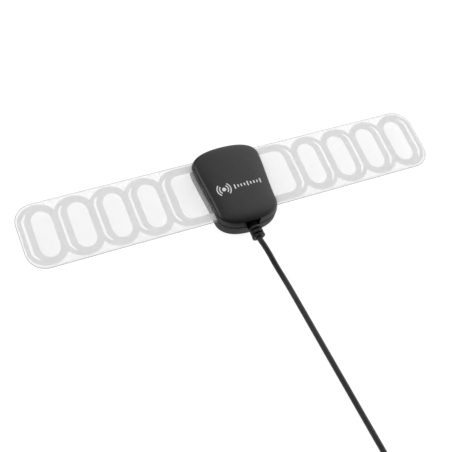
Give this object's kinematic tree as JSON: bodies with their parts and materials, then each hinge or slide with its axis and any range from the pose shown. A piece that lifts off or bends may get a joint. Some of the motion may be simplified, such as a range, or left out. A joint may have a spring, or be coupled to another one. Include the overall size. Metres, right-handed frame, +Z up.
{
  "type": "flat film television antenna",
  "caption": "Flat clear-film television antenna: printed loop arms, a small clamped housing at the middle, and a thin coaxial lead with a screw-on plug.",
  "frame": {"origin": "on the surface the antenna rests on, under the middle of the strip's length and of the housing's depth", "axes": "+X along the strip, -Y the side the lead leaves from, +Z up"},
  "size_m": [0.22, 0.2309, 0.0183],
  "materials": {
    "film": "clear, glossy film",
    "print": "pale matt printed conductor",
    "housing": "fine satin moulding",
    "pad": "matt foam",
    "steel": "plated",
    "board": "solder mask",
    "contact": "bright strip",
    "ferrite": "matt sintered",
    "copper": "enamelled wire",
    "chip": "fired body with tinned ends",
    "relief": "moulded, matt",
    "cord": "smooth satin jacket",
    "dielectric": "milky",
    "tie": "woven strap",
    "boot": "moulded, matt",
    "plating": "nickel plate"
  },
  "bodies": {
    "antenna": {"film_base": "film", "film_cover": "film", "trace_left": "print", "trace_right": "print", "housing_top": "housing", "housing_base": "housing", "rest_pad": "pad", "housing_screw_1": "steel", "housing_screw_2": "steel", "housing_screw_3": "steel", "housing_screw_4": "steel", "circuit_board": "board", "contact_spring_left": "contact", "contact_spring_right": "contact", "balun_core": "ferrite", "balun_winding": "copper", "chip_capacitor_1": "chip", "chip_capacitor_2": "chip", "chip_inductor": "ferrite", "strain_relief": "relief", "coax_jacket_end": "cord", "coax_braid_end": "steel", "coax_dielectric_end": "dielectric", "coax_conductor_end": "copper", "cord_lead": "cord", "cord_coil": "cord", "cord_tie": "tie", "cord_tail": "cord", "plug_boot": "boot", "plug_post": "plating", "plug_insulator": "dielectric", "plug_pin": "copper"},
    "plug_nut": {"plug_nut": "plating"}
  },
  "joints": [
    {"name": "plug_nut_spin", "type": "hinge", "parent": "antenna", "child": "plug_nut", "pos_m": [-0.0806, -0.2014, 0.0065], "axis": [-1, 0, 0], "continuous": true}
  ]
}
